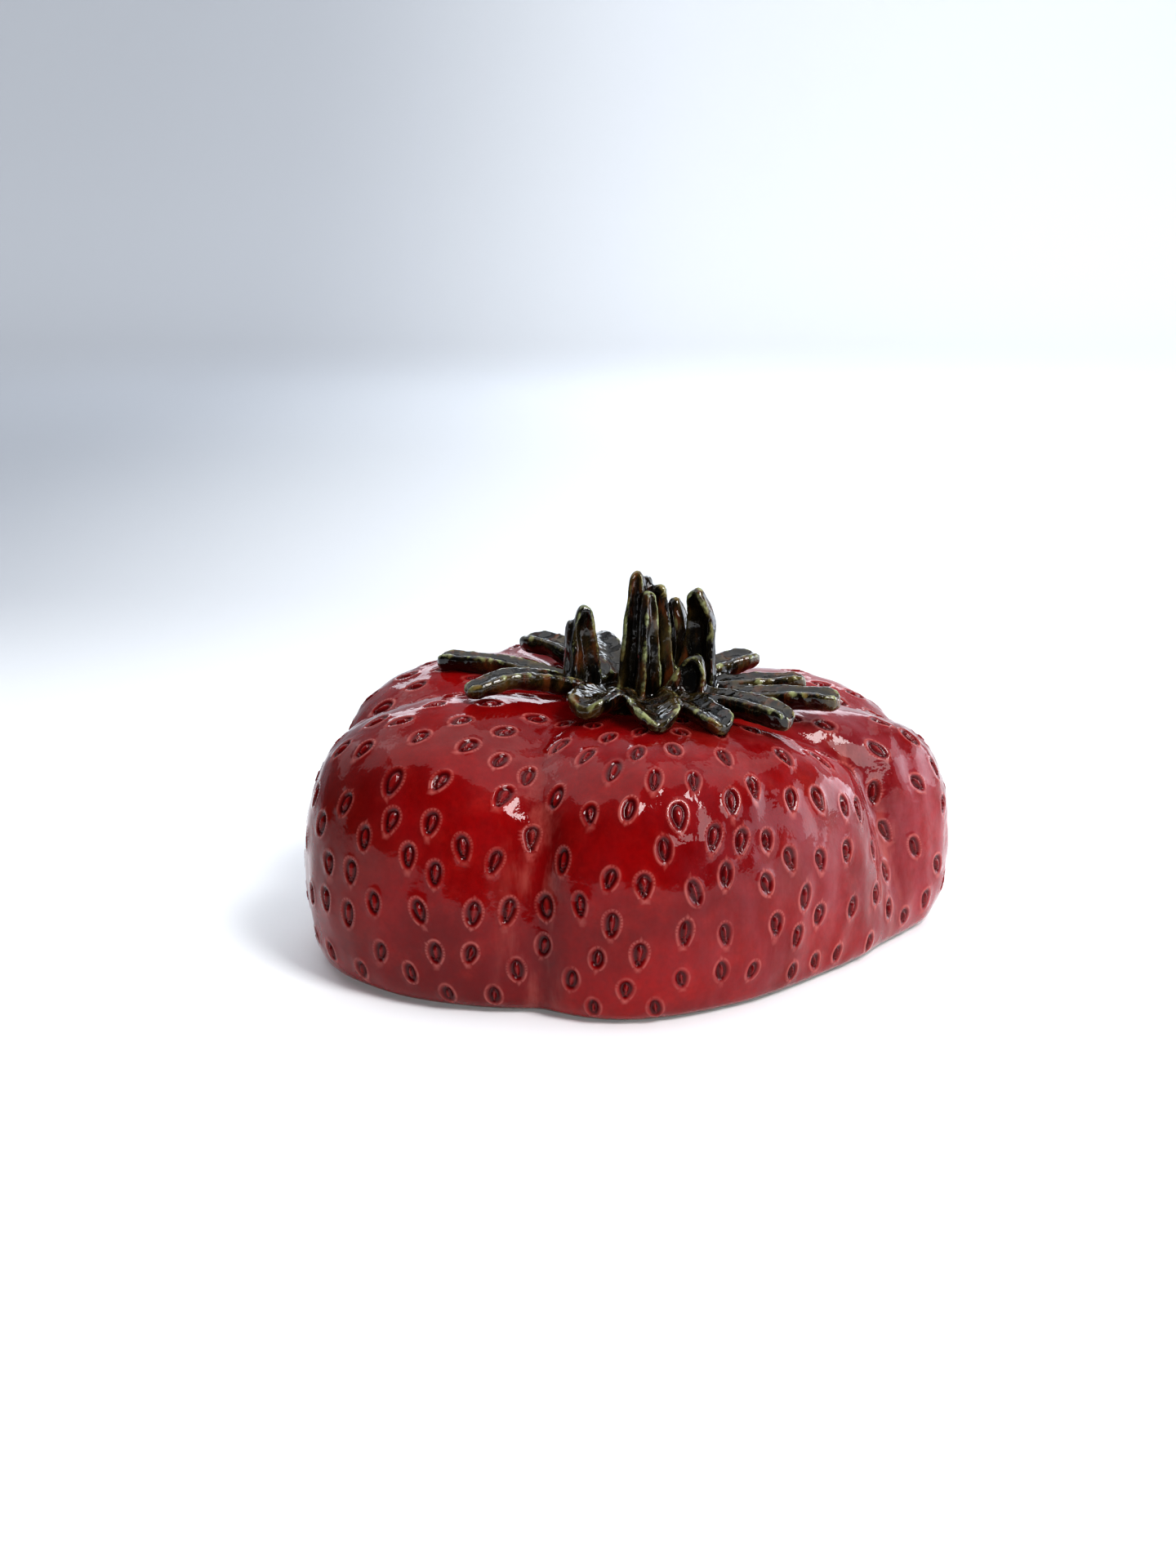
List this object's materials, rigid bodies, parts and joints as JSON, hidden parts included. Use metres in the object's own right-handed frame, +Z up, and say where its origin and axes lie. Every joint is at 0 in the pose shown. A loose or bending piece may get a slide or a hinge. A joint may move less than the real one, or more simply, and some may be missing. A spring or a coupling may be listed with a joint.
{
  "type": "glazed ceramic strawberry",
  "caption": "Wide, low, lobed ceramic strawberry with a pitted red glaze, hollow with a vent in the foot, and a crown of dark olive clay leaves and upright shoots.",
  "frame": {"origin": "middle of the box round the strawberry, at the flat foot it stands on", "axes": "+X along the widest direction, to the right seen from the front; -Y to the front; +Z up"},
  "size_m": [0.169, 0.1368, 0.0966],
  "materials": {
    "red_glaze": "very glossy deep red glaze, darker in the seed grooves and paler on their rims",
    "olive_glaze": "very glossy dark olive-brown glaze with amber streaks, greenish cream where it thins on edges"
  },
  "bodies": {
    "root": {"fruit_body": "red_glaze", "calyx_hub": "olive_glaze", "leaf_1": "olive_glaze", "leaf_2": "olive_glaze", "leaf_3": "olive_glaze", "leaf_4": "olive_glaze", "leaf_5": "olive_glaze", "leaf_6": "olive_glaze", "leaf_7": "olive_glaze", "leaf_8": "olive_glaze", "leaf_9": "olive_glaze", "leaf_10": "olive_glaze", "leaf_11": "olive_glaze", "leaf_12": "olive_glaze", "leaf_13": "olive_glaze", "shoot_left": "olive_glaze", "shoot_left_inner": "olive_glaze", "shoot_tall_left": "olive_glaze", "shoot_tall_back": "olive_glaze", "shoot_tall_front": "olive_glaze", "shoot_tall_right": "olive_glaze", "shoot_leaning": "olive_glaze", "shoot_hooded": "olive_glaze", "shoot_short": "olive_glaze"}
  },
  "joints": []
}
